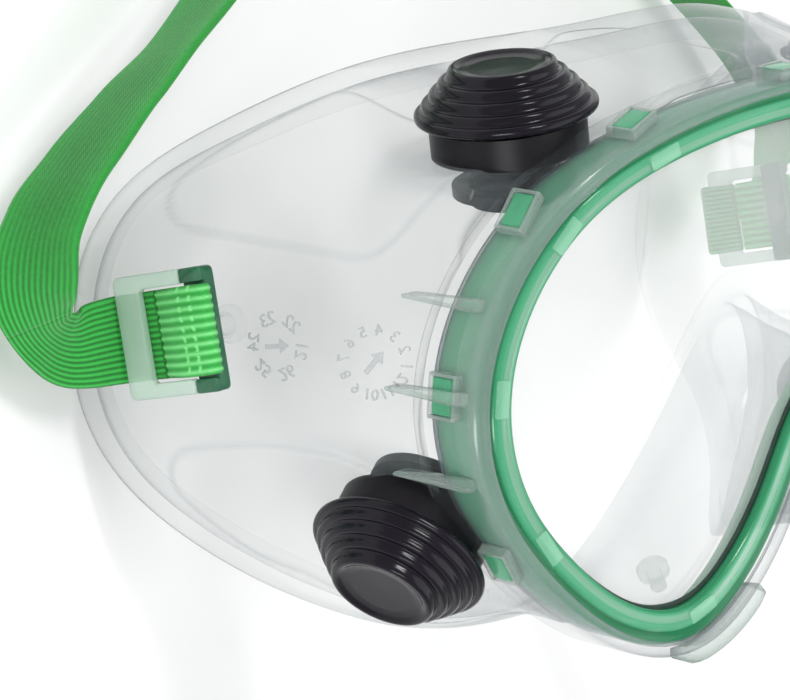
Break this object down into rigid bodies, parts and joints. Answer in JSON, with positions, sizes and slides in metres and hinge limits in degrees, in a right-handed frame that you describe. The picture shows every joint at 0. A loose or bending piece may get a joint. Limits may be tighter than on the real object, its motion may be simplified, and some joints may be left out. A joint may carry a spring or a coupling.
{
  "type": "safety goggles",
  "caption": "Soft clear goggles with a green lens ring, capped indirect vents, swivelling strap buckles and a woven elastic head strap.",
  "frame": {"origin": "centre of the face opening, 8 mm above the plane that the rim's two lowest stretches, one at each temple, rest on", "axes": "+Z out through the lens, away from the face; +Y towards the brow; +X towards the wearer's left"},
  "size_m": [0.2251, 0.132, 0.0917],
  "materials": {
    "clear_pvc": "soft clear vinyl, glossy",
    "lens_clear": "clear polycarbonate, polished",
    "ring_green": "translucent green, glossy",
    "seal_black": "matte black",
    "vent_black": "glossy black moulding",
    "buckle_pale": "translucent pale green",
    "bar_green": "dark green, satin gloss",
    "strap_green": "ribbed woven elastic"
  },
  "bodies": {
    "frame": {"face_frame": "clear_pvc", "lens": "lens_clear", "lens_ring": "ring_green", "lens_seal": "seal_black", "vent_base_upper_right": "vent_black", "vent_retainer_upper_right": "vent_black", "vent_base_lower_right": "vent_black", "vent_retainer_lower_right": "vent_black", "vent_base_upper_left": "vent_black", "vent_retainer_upper_left": "vent_black", "vent_base_lower_left": "vent_black", "vent_retainer_lower_left": "vent_black", "buckle_rivet_right": "clear_pvc", "nose_stud_right": "clear_pvc", "buckle_rivet_left": "clear_pvc", "nose_stud_left": "clear_pvc", "strap_band": "strap_green"},
    "cap_upper_right": {"vent_cap_upper_right": "vent_black"},
    "cap_lower_right": {"vent_cap_lower_right": "vent_black"},
    "cap_upper_left": {"vent_cap_upper_left": "vent_black"},
    "cap_lower_left": {"vent_cap_lower_left": "vent_black"},
    "buckle_right": {"buckle_plate_right": "buckle_pale", "anchor_bar_right": "bar_green", "strap_end_right": "strap_green"},
    "buckle_left": {"buckle_plate_left": "buckle_pale", "anchor_bar_left": "bar_green", "strap_end_left": "strap_green"},
    "slider": {"strap_slider": "bar_green"}
  },
  "joints": [
    {"name": "cap_upper_right_pull", "type": "slide", "parent": "frame", "child": "cap_upper_right", "axis": [-0.2114, 0.9766, -0.0403], "range_m": [0, 0.014]},
    {"name": "cap_lower_right_pull", "type": "slide", "parent": "frame", "child": "cap_lower_right", "axis": [-0.7502, -0.6502, 0.12], "range_m": [0, 0.014]},
    {"name": "cap_upper_left_pull", "type": "slide", "parent": "frame", "child": "cap_upper_left", "axis": [0.2114, 0.9766, -0.0403], "range_m": [0, 0.014]},
    {"name": "cap_lower_left_pull", "type": "slide", "parent": "frame", "child": "cap_lower_left", "axis": [0.7502, -0.6502, 0.12], "range_m": [0, 0.014]},
    {"name": "buckle_right_swivel", "type": "hinge", "parent": "frame", "child": "buckle_right", "pos_m": [-0.0852, 0.00584, 0.02052], "axis": [-1, 0, 0], "range_deg": [-20, 20]},
    {"name": "buckle_left_swivel", "type": "hinge", "parent": "frame", "child": "buckle_left", "pos_m": [0.0852, 0.00584, 0.02052], "axis": [1, 0, 0], "range_deg": [-20, 20]},
    {"name": "strap_slider_slide", "type": "slide", "parent": "frame", "child": "slider", "axis": [1, 0, 0], "range_m": [-0.006, 0.006]}
  ]
}
